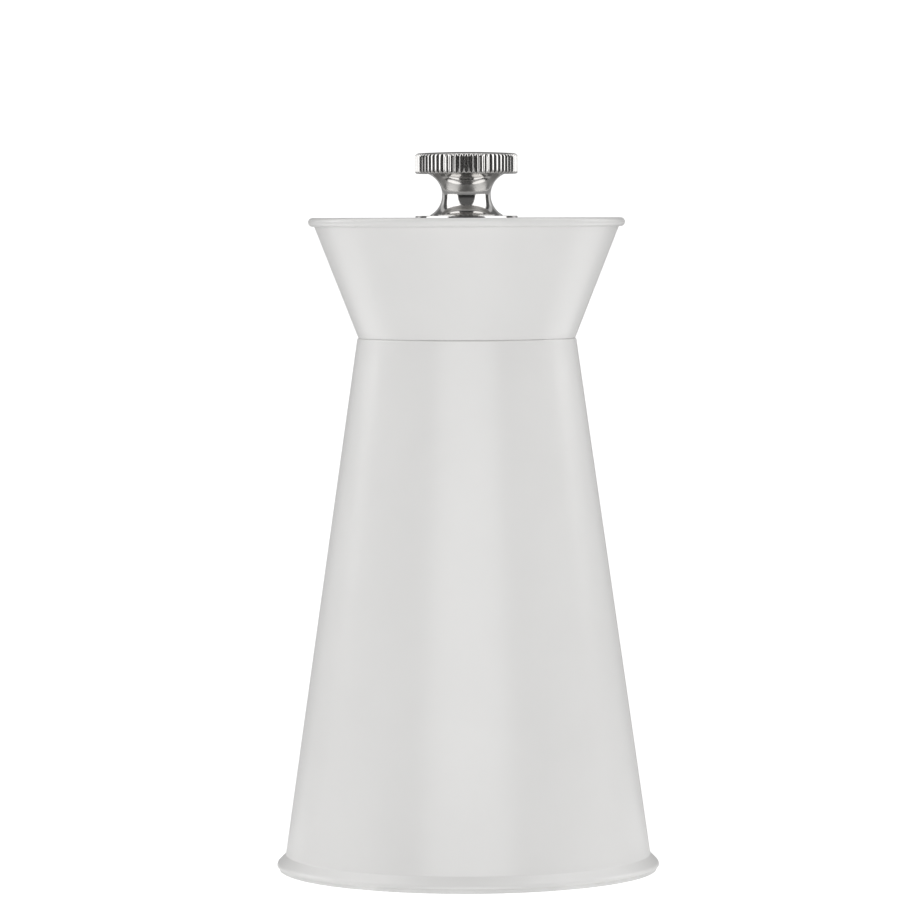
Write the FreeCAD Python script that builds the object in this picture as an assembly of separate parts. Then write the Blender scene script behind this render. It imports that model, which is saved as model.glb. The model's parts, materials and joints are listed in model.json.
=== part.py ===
"""Twist-top pepper mill with a waisted sheet-metal body, made of separate pieces.

Frame: millimetres, +Z up, origin on the mill's axis in the plane that its foot ring stands on.
The head (cap, knob and their washer) turns on the body's neck. It drives a square spindle, and the
spindle turns the rotor inside the stator at the bottom. The knob screws onto the spindle's threaded
end and holds the rotor up against a spring, so unscrewing it widens the grinding gap.
Threads are drawn plain, at their outer diameter.
"""
import FreeCAD, Part
import math
import os

Vector = FreeCAD.Vector

# ---- driving dimensions -------------------------------------------------------------------------
# Body shell: a cone of sheet metal with a rolled bead round its foot and its mouth folded inwards.
body_top_z = 104.05         # top of the folded mouth
neck_radius = 21.35         # outer radius of the wall at the mouth
base_radius = 36.05         # outer radius of the wall at the bead's underside
sheet = 0.8                 # thickness of the body and cap sheet
fold_radius = 0.35          # outside radius of the folded edges at the seam
foot_bead_radius = 1.05     # rolled bead round the foot
foot_bead_proud = 1.35      # how far the bead stands out from the wall
foot_bead_lower = 0.25      # radius of its lower edge
foot_flare_angle = 45.0     # slope of the turned-out sheet above the bead, in degrees
foot_flare_fillet = 0.3     # hollow where that slope leaves the wall

# Cap: an inverted cone with a rolled rim round a flat, sunk top plate.
cap_height = 23.3           # from the cap's lower edge to the top of its rim
cap_foot_radius = 21.2
cap_rim_radius = 30.0       # outer radius of the wall, level with the centre of the rim bead
rim_bead_radius = 0.86
rim_bead_fillet = 0.35
top_plate_sink = 0.9        # top plate's face below the top of the rim
seam_gap = 0.12             # open joint between the body's mouth and the cap
lip_step = 0.5              # cap's folded edge stands this much higher over the bush's flange

# Knob: solid turned stainless steel with a straight-knurled head.
washer_radius = 9.95
washer_height = 1.25
knob_head_radius = 10.03
knob_head_height = 4.0
knob_height = 12.15         # from the foot to the edge of the head's top face
knob_waist_radius = 4.73
knob_foot_radius = 7.05
knob_foot_flare = 4.4       # radius of the hollow between the foot and the waist
knob_shoulder_radius = 7.48 # where the waist meets the underside of the head
knob_shoulder_flare = 4.4   # radius of the hollow between the waist and the head
knob_dome = 0.25
knurl_count = 64
knurl_depth = 0.42

# Spindle: square bar with a thread turned on its upper end.
spindle_side = 5.0
thread_engagement = 7.6     # length of thread inside the knob
square_above_plate = 5.0    # how far the square stands above the drive plate
thread_pitch = 0.8
adjust_turns = 1.5          # turns of the knob from the finest to the coarsest grind

# Grinder
rotor_radius = 10.9         # at the rotor's lower edge, over the teeth
rotor_height = 8.8
rotor_top_radius = 7.4
fine_band = 3.0             # height of the fine teeth
fine_taper = 0.2            # radius lost per millimetre of height in the fine band
grind_gap = 0.15            # between rotor and stator teeth at the finest setting
fine_depth = 0.45
coarse_depth = 1.3
rotor_fine_teeth = 36
rotor_coarse_teeth = 12
stator_fine_teeth = 40
stator_coarse_teeth = 12
stator_wall = 2.2           # from the bottom of the fine teeth to the outside
stator_height = 12.4
bridge_thickness = 1.2
bridge_arm_width = 3.2
bridge_arms = 3
thrust_washer_thickness = 0.8
spring_wire = 0.8
spring_turns = 4.5
housing_sheet = 0.8
housing_flange_width = 6.2

# Plastic inner parts
hopper_wall = 1.3
neck_bush_wall = 1.25
neck_bush_height = 14.0
neck_bush_flange = 0.9      # how far the bush's flange reaches over the folded mouth
spigot_length = 6.5
spigot_wall = 1.7
core_web = 2.2
core_hub_radius = 9.0
core_flange_radius = 14.0
core_ribs = 6
core_rib_thickness = 1.6
drive_plate_radius = 8.5
drive_plate_thickness = 1.5
base_thickness = 3.0
base_rim_width = 5.1        # width of the low rim that carries the foot ring
base_slope = 1.2            # width of the slope from that rim in to the recess
base_lift = 0.45            # underside of that rim above the bead's underside
base_recess = 2.0           # middle of the base above the underside of its rim
foot_ring_width = 2.4
foot_ring_embed = 1.15
foot_drop = 0.75            # foot ring below the bead
foot_lip = 0.45             # outside of the foot ring's lip inside the outside of the bead

# Fasteners
screws_per_ring = 3
base_screw_radius = 1.45
base_head_radius = 2.4
housing_screw_radius = 1.1
cap_screw_radius = 1.2
plate_screw_radius = 1.0
screw_bite = 0.02           # thread of a screw into its pilot hole, on the radius
rotor_nut_flats = 7.0
rotor_nut_height = 2.4

# Clearances
running = 0.08              # turning and sliding fits, on the radius
seat = 0.03                 # assembled faces that touch
slide_gap = 0.1             # square holes on the spindle, each side
swing = 0.25                # round holes that the square spindle turns in

# ---- places that follow from them ---------------------------------------------------------------
bead_bottom_z = foot_drop
body_slope = (base_radius - neck_radius) / (body_top_z - bead_bottom_z)
body_angle = math.atan(body_slope)
cap_foot_z = body_top_z + seam_gap
rim_top_z = cap_foot_z + cap_height
rim_z = rim_top_z - rim_bead_radius
cap_slope = (cap_rim_radius - cap_foot_radius) / (rim_z - cap_foot_z)
cap_angle = math.atan(cap_slope)
plate_top_z = rim_top_z - top_plate_sink
plate_bottom_z = plate_top_z - sheet
washer_top_z = plate_top_z + washer_height
knob_foot_z = washer_top_z + 0.02

spindle_corner = spindle_side / math.sqrt(2)
thread_radius = spindle_side / 2
adjust_travel = adjust_turns * thread_pitch
square_hole_side = spindle_side + 2 * slide_gap
swing_radius = spindle_corner + swing

flange_radius = neck_radius - 1.5       # leaves a flat ring on the mouth outside the bush's flange
spigot_radius = flange_radius - neck_bush_flange - neck_bush_wall - running
bush_bore = spigot_radius + running
bush_radius = bush_bore + neck_bush_wall
mouth_radius = bush_radius + seat       # opening in the folded mouth
bush_foot_z = cap_foot_z - neck_bush_height
hopper_socket_depth = 0.55 * neck_bush_height

rim_underside_z = bead_bottom_z + base_lift
base_underside_z = rim_underside_z + base_recess
base_top_z = base_underside_z + base_thickness
stator_z = base_underside_z - housing_sheet + 0.2
rotor_z = stator_z + 0.6
stator_top_z = stator_z + stator_height
bridge_top_z = stator_top_z + bridge_thickness
fine_stator_radius = rotor_radius + grind_gap + fine_taper * (rotor_z - stator_z)
stator_radius = fine_stator_radius + fine_depth + stator_wall
housing_bore = stator_radius + seat
housing_radius = housing_bore + housing_sheet
housing_top_z = bridge_top_z + housing_sheet
housing_flange_radius = housing_radius + housing_flange_width
well_radius = housing_radius + 2 * running
tower_top_z = housing_top_z + 3.0

web_z = rotor_z + 3.0                   # web in the rotor, over the nut's pocket
web_thickness = 1.8
rotor_seat_z = web_z + 0.8              # the spindle's square stands here, 1 mm into the web
spring_radius = spindle_corner + 0.5 + spring_wire
spring_pocket_radius = spring_radius + spring_wire / 2 + 0.35
spring_top_z = stator_top_z - thrust_washer_thickness
spring_foot_z = web_z + web_thickness
hub_radius = spring_radius + spring_wire / 2 + 0.6
clip_z = bridge_top_z + adjust_travel + 0.3
clip_thickness = 0.8
clip_groove_radius = thread_radius - 0.35

lip_top_z = cap_foot_z + lip_step + sheet
drive_plate_top_z = lip_top_z
drive_plate_z = drive_plate_top_z - drive_plate_thickness
square_top_z = drive_plate_top_z + square_above_plate
spindle_top_z = knob_foot_z + thread_engagement
housing_screw_pcr = housing_radius + 0.47 * housing_flange_width
boss_radius = base_screw_radius + 1.75


# ---- helpers ------------------------------------------------------------------------------------
def body_wall(z):
    """Outer radius of the body's wall at a height."""
    return base_radius - body_slope * (z - bead_bottom_z)


def body_inside(z):
    """Inner radius of the body's wall at a height."""
    return body_wall(z) - sheet / math.cos(body_angle)


def cap_wall(z):
    """Outer radius of the cap's wall at a height."""
    return cap_foot_radius + cap_slope * (z - cap_foot_z)


def cap_inside(z):
    """Inner radius of the cap's wall at a height."""
    return cap_wall(z) - sheet / math.cos(cap_angle)


def section(start, *moves):
    """Closed face in the XZ plane. A move is a point (radius, z), or (middle, end) for an arc."""
    def at(point):
        return Vector(point[0], 0, point[1])

    edges = []
    here = start
    for move in moves + (start,):
        if isinstance(move[0], tuple):
            middle, end = move
            edges.append(Part.Arc(at(here), at(middle), at(end)).toShape())
        else:
            end = move
            if math.dist(here, end) < 1e-6:
                continue
            edges.append(Part.LineSegment(at(here), at(end)).toShape())
        here = end
    return Part.Face(Part.Wire(edges))


def turned(start, *moves):
    """Solid of revolution about Z of a section."""
    solid = section(start, *moves).revolve(Vector(0, 0, 0), Vector(0, 0, 1), 360)
    return solid if solid.ShapeType == "Solid" else Part.Solid(solid)


def on_circle(centre, radius, degrees):
    """Point (radius, z) on a circle in the section plane, 0 degrees outwards and 90 up."""
    angle = math.radians(degrees)
    return (centre[0] + radius * math.cos(angle), centre[1] + radius * math.sin(angle))


def cylinder(radius, low, high, x=0.0, y=0.0):
    return Part.makeCylinder(radius, high - low, Vector(x, y, low))


def square_bar(side, low, high):
    return Part.makeBox(side, side, high - low, Vector(-side / 2, -side / 2, low))


def hexagon(flats, low, high):
    """Hexagonal prism about Z."""
    radius = flats / math.sqrt(3)
    corners = [Vector(radius * math.cos(math.radians(60 * i)), radius * math.sin(math.radians(60 * i)), low)
               for i in range(6)]
    return Part.Face(Part.makePolygon(corners + corners[:1])).extrude(Vector(0, 0, high - low))


def ring_of(shape, count, first=0.0):
    """Copies of a shape, evenly turned about Z."""
    copies = []
    for i in range(count):
        copy = shape.copy()
        copy.rotate(Vector(0, 0, 0), Vector(0, 0, 1), first + 360.0 * i / count)
        copies.append(copy)
    return copies


def toothed(stages, teeth, twist, lean=0.3):
    """Solid with saw teeth round it, ruled from (tip radius, root radius, z) to the next one.

    The whole solid twists by `twist` degrees from its first stage to its last.
    """
    wires = []
    for k, (tip, root, z) in enumerate(stages):
        turn = math.radians(twist) * (z - stages[0][2]) / (stages[-1][2] - stages[0][2])
        points = []
        for i in range(teeth):
            for radius, share in ((tip, 0.0), (root, lean)):
                angle = turn + 2 * math.pi * (i + share) / teeth
                points.append(Vector(radius * math.cos(angle), radius * math.sin(angle), z))
        wires.append(Part.makePolygon(points + points[:1]))
    return Part.makeLoft(wires, True, True)


def eased(before, corner, after, radius):
    """A corner of an outline rounded by a radius: (start of the arc, its middle, its end)."""
    back = Vector(before[0] - corner[0], before[1] - corner[1], 0).normalize()
    onward = Vector(after[0] - corner[0], after[1] - corner[1], 0).normalize()
    half = back.getAngle(onward) / 2
    inward = (back + onward).normalize() * (radius / math.sin(half) - radius)
    reach = radius / math.tan(half)
    return tuple((corner[0] + step.x, corner[1] + step.y) for step in (back * reach, inward, onward * reach))


def bead(centre, radius, fillet, wall_point, along, outward):
    """Where a rolled bead meets a straight wall: (point on bead, middle of the fillet, point on wall).

    `along` points along the wall away from the bead, `outward` is the wall's outward normal.
    """
    depth = (centre[0] - wall_point[0]) * outward[0] + (centre[1] - wall_point[1]) * outward[1]
    reach = math.sqrt((radius + fillet) ** 2 - (fillet - depth) ** 2)
    hollow = (centre[0] + outward[0] * (fillet - depth) + along[0] * reach,
              centre[1] + outward[1] * (fillet - depth) + along[1] * reach)
    share = radius / (radius + fillet)
    on_bead = (centre[0] + (hollow[0] - centre[0]) * share, centre[1] + (hollow[1] - centre[1]) * share)
    on_wall = (hollow[0] - outward[0] * fillet, hollow[1] - outward[1] * fillet)
    chord = (on_bead[0] + on_wall[0] - 2 * hollow[0], on_bead[1] + on_wall[1] - 2 * hollow[1])
    length = math.hypot(*chord)
    middle = (hollow[0] + chord[0] / length * fillet, hollow[1] + chord[1] / length * fillet)
    return on_bead, middle, on_wall


def screw(radius, length, head_radius, head_height, countersunk=False):
    """Cross-recessed screw pointing up, with its head's bearing face (or flat top) at z = 0."""
    tip = (0.0, length)
    if countersunk:
        body = turned((0.0, 0.0), (head_radius, 0.0), (radius, head_height), (radius, length - radius), tip)
        recess_floor, recess_mouth = 0.6 * head_height, -0.1
    else:
        body = turned((0.0, -head_height), (0.55 * head_radius, -head_height),
                      ((0.88 * head_radius, -0.78 * head_height), (head_radius, -0.3 * head_height)),
                      (head_radius, 0.0), (radius, 0.0), (radius, length - radius), tip)
        recess_floor, recess_mouth = -0.35 * head_height, -head_height - 0.1
    blade_length, blade_width = 1.1 * head_radius, 0.28 * head_radius
    depth = abs(recess_floor - recess_mouth)
    low = min(recess_floor, recess_mouth)
    for turn in (45, 135):
        blade = Part.makeBox(blade_length, blade_width, depth, Vector(-blade_length / 2, -blade_width / 2, low))
        blade.rotate(Vector(0, 0, 0), Vector(0, 0, 1), turn)
        body = body.cut(blade)
    return body


def placed(shape, x, z, flip=False):
    """A copy moved to (x, 0, z), turned upside down first if asked."""
    copy = shape.copy()
    if flip:
        copy.rotate(Vector(0, 0, 0), Vector(1, 0, 0), 180)
    copy.translate(Vector(x, 0, z))
    return copy


# ---- body ---------------------------------------------------------------------------------------
def body_shell():
    """Cone of sheet metal: rolled bead at the foot, mouth folded inwards at the top."""
    centre = (base_radius + foot_bead_proud - foot_bead_radius, bead_bottom_z + foot_bead_lower)
    lower_centre = (centre[0] + foot_bead_radius - foot_bead_lower, centre[1])
    on_bead = on_circle(centre, foot_bead_radius, foot_flare_angle)
    flare_slope = math.tan(math.radians(foot_flare_angle))
    flare_rise = (on_bead[0] - body_wall(on_bead[1])) / (flare_slope - body_slope)
    flare_top = (body_wall(on_bead[1] + flare_rise), on_bead[1] + flare_rise)
    wall_top = (body_wall(body_top_z), body_top_z)
    flare_end, hollow, on_wall = eased(on_bead, flare_top, wall_top, foot_flare_fillet)
    fold_z = body_top_z - fold_radius
    fold_centre = (body_wall(fold_z) - fold_radius, fold_z)
    inner_fold_z = body_top_z - sheet
    return turned(
        (body_inside(bead_bottom_z), bead_bottom_z),
        (lower_centre[0], bead_bottom_z),
        (on_circle(lower_centre, foot_bead_lower, -45), on_circle(lower_centre, foot_bead_lower, 0)),
        (on_circle(centre, foot_bead_radius, foot_flare_angle / 2), on_bead),
        flare_end,
        (hollow, on_wall),
        (body_wall(fold_z), fold_z),
        (on_circle(fold_centre, fold_radius, 45), on_circle(fold_centre, fold_radius, 90)),
        (mouth_radius, body_top_z),
        (mouth_radius, inner_fold_z),
        (body_inside(inner_fold_z), inner_fold_z))


def neck_bush():
    """Plastic bush in the mouth. The cap's spigot turns in it and the cap stands on its flange."""
    flange_top = cap_foot_z + lip_step - seat
    lead = 0.6
    return turned(
        (bush_bore, bush_foot_z), (bush_radius, bush_foot_z), (bush_radius, body_top_z + seat),
        (flange_radius, body_top_z + seat), (flange_radius, flange_top), (bush_bore + lead, flange_top),
        (bush_bore, flange_top - lead))


def hopper_inside(z):
    """Inner radius of the hopper's tapered wall."""
    top_z = cap_foot_z - neck_bush_height
    low = well_radius + 5.4
    return bush_bore + (low - bush_bore) * (top_z - z) / (top_z - base_top_z)


def hopper():
    """Tapered tube that holds the peppercorns. It grips the neck bush and stands on the base."""
    socket_radius = bush_radius + seat
    socket_outer = socket_radius + hopper_wall
    step_z = bush_foot_z - seat
    top_z = step_z + hopper_socket_depth
    tube = turned(
        (hopper_inside(base_top_z), base_top_z + seat),
        (hopper_inside(base_top_z) + hopper_wall, base_top_z + seat),
        (hopper_inside(step_z) + hopper_wall, step_z - 2 * hopper_wall),
        (socket_outer, step_z), (socket_outer, top_z), (socket_radius, top_z),
        (socket_radius, step_z), (hopper_inside(step_z), step_z))
    boss_x = boss_circle()
    boss_top = base_top_z + 12.0
    boss = cylinder(boss_radius, base_top_z + seat, boss_top, boss_x)
    rib = Part.makeBox(boss_x - hopper_inside(base_top_z) - hopper_wall / 2, 1.6, boss_top - base_top_z - seat,
                       Vector(hopper_inside(base_top_z) + hopper_wall / 2, -0.8, base_top_z + seat))
    pilot = cylinder(base_screw_radius - screw_bite, base_top_z - 1, boss_top - 1.5, boss_x)
    bosses = ring_of(boss.fuse(rib), screws_per_ring)
    return tube.multiFuse(bosses).cut(Part.makeCompound(ring_of(pilot, screws_per_ring))).removeSplitter()


def boss_circle():
    """Radius of the circle that the base screws stand on."""
    return hopper_inside(base_top_z) + hopper_wall + boss_radius + 0.5


def base_plate():
    """Moulded base: a low rim with the foot ring's groove, and a tower round the grinder."""
    inner_rim = body_inside(rim_underside_z) - base_rim_width
    slope_end = inner_rim - base_slope
    top_radius = body_inside(base_top_z) - seat
    tower = hopper_inside(tower_top_z) - running
    tower_low = hopper_inside(base_top_z) - running
    funnel_lip = 0.9
    plate = turned(
        (well_radius, base_underside_z), (slope_end, base_underside_z), (inner_rim, rim_underside_z),
        (body_inside(rim_underside_z) - seat, rim_underside_z), (top_radius, base_top_z),
        (tower_low, base_top_z), (tower, tower_top_z), (tower - funnel_lip, tower_top_z),
        (well_radius, housing_top_z + 0.2))
    groove_inner, groove_outer = foot_groove()
    groove = turned((groove_inner, rim_underside_z - 1), (groove_outer, rim_underside_z - 1),
                    (groove_outer, rim_underside_z + foot_ring_embed),
                    (groove_inner, rim_underside_z + foot_ring_embed))
    holes = ring_of(cylinder(base_screw_radius + 0.15, base_underside_z - 1, base_top_z + 1, boss_circle()),
                    screws_per_ring)
    holes += ring_of(cylinder(base_head_radius + 0.3, rim_underside_z - 1, base_underside_z, boss_circle()),
                     screws_per_ring)
    holes += ring_of(cylinder(housing_screw_radius - screw_bite, base_underside_z - 1,
                              base_underside_z + housing_screw_length() - 0.4, housing_screw_pcr),
                     screws_per_ring, 60)
    return plate.cut(Part.makeCompound([groove] + holes))


def foot_groove():
    """Inner and outer radius of the groove in the base's rim."""
    middle = body_inside(rim_underside_z) - 0.5 * base_rim_width
    return middle - foot_ring_width / 2, middle + foot_ring_width / 2


def foot_ring():
    """Soft ring that the mill stands on. A thin lip of it shows under the bead."""
    inner, outer = foot_groove()
    inner, outer = inner + seat, outer - seat
    soft = 0.35
    edge = 0.2
    lip = base_radius + foot_bead_proud - foot_lip
    lip_top = bead_bottom_z - seat
    top = rim_underside_z + foot_ring_embed - seat
    return turned(
        (inner + soft, 0.0), (lip - edge, 0.0),
        (on_circle((lip - edge, edge), edge, -45), (lip, edge)),
        (lip, lip_top), (outer, lip_top),
        (outer, top), (inner, top), (inner, soft),
        (on_circle((inner + soft, soft), soft, 225), (inner + soft, 0.0)))


def base_screws():
    one = screw(base_screw_radius, base_thickness + 8.0, base_head_radius, 1.3)
    return Part.makeCompound(ring_of(placed(one, boss_circle(), base_underside_z - seat), screws_per_ring))


def housing_screw_length():
    return 7.5


# ---- grinder ------------------------------------------------------------------------------------
def grinder_housing():
    """Steel cup that holds the stator and the bridge, with a flange screwed under the base."""
    flange_low = base_underside_z - housing_sheet - seat
    lip = 0.7
    cup = turned(
        (housing_bore - lip, flange_low), (housing_flange_radius, flange_low),
        (housing_flange_radius, base_underside_z - seat), (housing_radius, base_underside_z - seat),
        (housing_radius, housing_top_z), (housing_bore - lip, housing_top_z),
        (housing_bore - lip, bridge_top_z + seat), (housing_bore, bridge_top_z + seat),
        (housing_bore, stator_z - seat), (housing_bore - lip, stator_z - seat))
    holes = ring_of(cylinder(housing_screw_radius + 0.15, flange_low - 1, base_underside_z + 1, housing_screw_pcr),
                    screws_per_ring, 60)
    return cup.cut(Part.makeCompound(holes))


def housing_screws():
    one = screw(housing_screw_radius, housing_screw_length() - 0.5, 2.1, 1.1)
    seat_z = base_underside_z - housing_sheet - 2 * seat
    return Part.makeCompound(ring_of(placed(one, housing_screw_pcr, seat_z), screws_per_ring, 60))


def fine_radius(z):
    """Radius over the rotor's fine teeth at a height."""
    return rotor_radius - fine_taper * (z - rotor_z)


def rotor():
    """Male grinder: fine teeth at the foot, coarse spiral flutes above, pockets for nut and spring."""
    band_z = rotor_z + fine_band
    top_z = rotor_z + rotor_height
    band_radius = fine_radius(band_z)
    fine = toothed([(rotor_radius, rotor_radius - fine_depth, rotor_z),
                    (band_radius, band_radius - fine_depth, band_z)], rotor_fine_teeth, 8)
    coarse = toothed([(band_radius, band_radius - coarse_depth, band_z - 0.01),
                      (rotor_top_radius, rotor_top_radius - coarse_depth * 0.5, top_z)], rotor_coarse_teeth, 35)
    nut_pocket = cylinder(rotor_nut_flats / math.sqrt(3) + 0.5, rotor_z - 1, web_z)
    stem = cylinder(thread_radius - 0.5 + seat, web_z - 1, rotor_seat_z + 0.1)
    key = square_bar(spindle_side + 2 * seat, rotor_seat_z, spring_foot_z + 0.1)
    spring_pocket = cylinder(spring_pocket_radius, spring_foot_z, top_z + 1)
    return fine.fuse(coarse).cut(Part.makeCompound([nut_pocket, spring_pocket])).cut(stem).cut(key)


def stator():
    """Female grinder ring: fine teeth below, coarse spiral flutes above."""
    band_z = rotor_z + fine_band
    low_z = stator_z - 0.01
    tip_low = fine_stator_radius
    tip_band = fine_radius(band_z) + grind_gap
    tip_top = stator_radius - 1.0 - coarse_depth
    fine = toothed([(tip_low + fine_depth, tip_low, low_z),
                    (tip_band + fine_depth, tip_band, band_z)], stator_fine_teeth, -8)
    coarse = toothed([(tip_band + coarse_depth, tip_band, band_z - 0.01),
                      (tip_top + coarse_depth, tip_top, stator_top_z + 0.01)], stator_coarse_teeth, -40)
    blank = cylinder(stator_radius, stator_z, stator_top_z)
    return blank.cut(fine).cut(coarse)


def bridge():
    """Stamped spider over the stator. The spindle turns in its hub and the corns fall past its arms."""
    rim_width = 1.2
    low, high = stator_top_z + seat, bridge_top_z
    outer = stator_radius
    rim = cylinder(outer, low, high).cut(cylinder(outer - rim_width, low - 1, high + 1))
    arm = Part.makeBox(outer - rim_width / 2, bridge_arm_width, high - low, Vector(0, -bridge_arm_width / 2, low))
    hub = cylinder(hub_radius, low, high)
    whole = rim.multiFuse([hub] + ring_of(arm, bridge_arms)).removeSplitter()
    return whole.cut(cylinder(swing_radius, low - 1, high + 1))


# ---- spindle and what turns with it -------------------------------------------------------------
def thrust_washer():
    """Square-holed washer between the spring and the bridge. The spindle slides through it."""
    disc = cylinder(hub_radius, spring_top_z + seat, stator_top_z)
    return disc.cut(square_bar(square_hole_side, spring_top_z - 1, stator_top_z + 1))


def spring():
    """Compression spring that pushes the rotor down, as a row of short coil segments."""
    low = spring_foot_z + spring_wire / 2 + 0.05
    high = spring_top_z - spring_wire / 2 - 0.02
    pitch = (high - low) / spring_turns
    steps = 24
    rise = Vector(0, 2 * math.pi * spring_radius, pitch)
    ring = Part.Wire(Part.Circle(Vector(spring_radius, 0, low), rise, spring_wire / 2).toShape())
    rings = []
    for k in range(int(spring_turns * steps) + 1):
        copy = ring.copy()
        copy.rotate(Vector(0, 0, 0), Vector(0, 0, 1), 360.0 * k / steps)
        copy.translate(Vector(0, 0, pitch * k / steps))
        rings.append(copy)
    return Part.makeLoft(rings, True, True)


def spindle():
    """Square bar: a threaded stem under the rotor, a clip groove, and the knob's thread on top."""
    stem_radius = thread_radius - 0.5
    stem_z = web_z - rotor_nut_height - 0.2
    chamfer = 0.4
    bar = square_bar(spindle_side, rotor_seat_z, square_top_z)
    stem = cylinder(stem_radius, stem_z, rotor_seat_z + 1)
    thread = turned((0.0, square_top_z - 1), (thread_radius, square_top_z - 1),
                    (thread_radius, spindle_top_z - chamfer), (thread_radius - chamfer, spindle_top_z),
                    (0.0, spindle_top_z))
    shoulder = turned((thread_radius, square_top_z - 2 * (spindle_corner - thread_radius)),
                      (spindle_corner + 1, square_top_z - 2 * (spindle_corner - thread_radius)),
                      (spindle_corner + 1, square_top_z + 1), (thread_radius, square_top_z + 1),
                      (thread_radius, square_top_z), (spindle_corner, square_top_z
                                                      - (spindle_corner - thread_radius)))
    groove_low, groove_high = clip_z - seat, clip_z + clip_thickness + seat
    groove = cylinder(spindle_corner + 1, groove_low, groove_high).cut(
        cylinder(clip_groove_radius, groove_low - 1, groove_high + 1))
    return bar.cut(shoulder).cut(groove).multiFuse([stem, thread]).removeSplitter()


def rotor_nut():
    """Hexagon nut that pulls the rotor up against the spindle's square."""
    low, high = web_z - seat - rotor_nut_height, web_z - seat
    nut = hexagon(rotor_nut_flats, low, high)
    trim_radius = rotor_nut_flats / 2
    corner = rotor_nut_flats / math.sqrt(3)
    bevel = 0.55 * (corner - trim_radius)
    envelope = turned((0.0, low), (trim_radius, low), (corner + 0.01, low + bevel),
                      (corner + 0.01, high), (0.0, high))
    return nut.common(envelope).cut(cylinder(thread_radius - 0.5 + seat, low - 1, high + 1))


def spindle_clip():
    """Open clip in the spindle's groove. It stops the spindle dropping out with the knob off."""
    outer = clip_groove_radius + 2.6
    low, high = clip_z, clip_z + clip_thickness
    ring = cylinder(outer, low, high).cut(cylinder(clip_groove_radius + seat, low - 1, high + 1))
    gap = 1.55 * clip_groove_radius
    mouth = Part.makeBox(outer + 1, gap, clip_thickness + 2, Vector(0, -gap / 2, low - 1))
    relief = ring_of(cylinder(0.75, low - 1, high + 1, clip_groove_radius + 0.35), 2, 90)
    return ring.cut(Part.makeCompound([mouth] + relief))


# ---- cap ----------------------------------------------------------------------------------------
def cap_shell():
    """Inverted cone of sheet metal: lower edge folded inwards, rolled rim at the top."""
    centre = (cap_rim_radius, rim_z)
    along = (-math.sin(cap_angle), -math.cos(cap_angle))
    outward = (math.cos(cap_angle), -math.sin(cap_angle))
    on_bead, hollow, on_wall = bead(centre, rim_bead_radius, rim_bead_fillet,
                                    (cap_wall(rim_z), rim_z), along, outward)
    bead_angle = math.degrees(math.atan2(on_bead[1] - centre[1], on_bead[0] - centre[0]))
    inner_x = cap_inside(rim_z)
    inner_angle = math.degrees(math.acos(max(-1.0, (inner_x - centre[0]) / rim_bead_radius)))
    fold_z = cap_foot_z + fold_radius
    fold_centre = (cap_wall(fold_z) - fold_radius, fold_z)
    step_radius = flange_radius + running
    return turned(
        (lip_radius(), cap_foot_z + lip_step),
        (step_radius, cap_foot_z + lip_step),
        (step_radius, cap_foot_z),
        on_circle(fold_centre, fold_radius, -90),
        (on_circle(fold_centre, fold_radius, -45), (cap_wall(fold_z), fold_z)),
        on_wall,
        (hollow, on_bead),
        (on_circle(centre, rim_bead_radius, (bead_angle + inner_angle) / 2),
         on_circle(centre, rim_bead_radius, inner_angle)),
        (cap_inside(plate_bottom_z), plate_bottom_z),
        (cap_inside(lip_top_z), lip_top_z),
        (lip_radius(), lip_top_z))


def lip_radius():
    """Opening in the cap's folded lower edge, round the spigot."""
    return spigot_radius + 0.8


def top_plate():
    """Flat disc that closes the cap, sunk inside the rim."""
    low, high = plate_bottom_z, plate_top_z
    disc = turned((thread_radius + 0.5, low), (cap_inside(low) - seat, low), (cap_inside(high) - seat, high),
                  (thread_radius + 0.5, high))
    sinks = ring_of(placed(countersink(), cap_screw_circle(), plate_top_z), screws_per_ring, 30)
    return disc.cut(Part.makeCompound(sinks))


def cap_screw_circle():
    return 0.5 * (core_hub_radius + swing_radius) + 0.1


def cap_head():
    """Head radius and height of the countersunk cap screws."""
    return 1.9 * cap_screw_radius, 0.95 * cap_screw_radius


def countersink():
    """Cutter for a countersunk cap screw, with the top face at z = 0."""
    head_radius, head_height = cap_head()
    return turned((0.0, 1.0), (head_radius + seat, 1.0), (head_radius + seat, 0.0),
                  (cap_screw_radius + seat, -head_height), (cap_screw_radius + seat, -5.0), (0.0, -5.0))


def cap_screws():
    head_radius, head_height = cap_head()
    one = screw(cap_screw_radius, 9.0, head_radius, head_height, countersunk=True)
    return Part.makeCompound(ring_of(placed(one, cap_screw_circle(), plate_top_z - 0.02, flip=True),
                                     screws_per_ring, 30))


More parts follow.
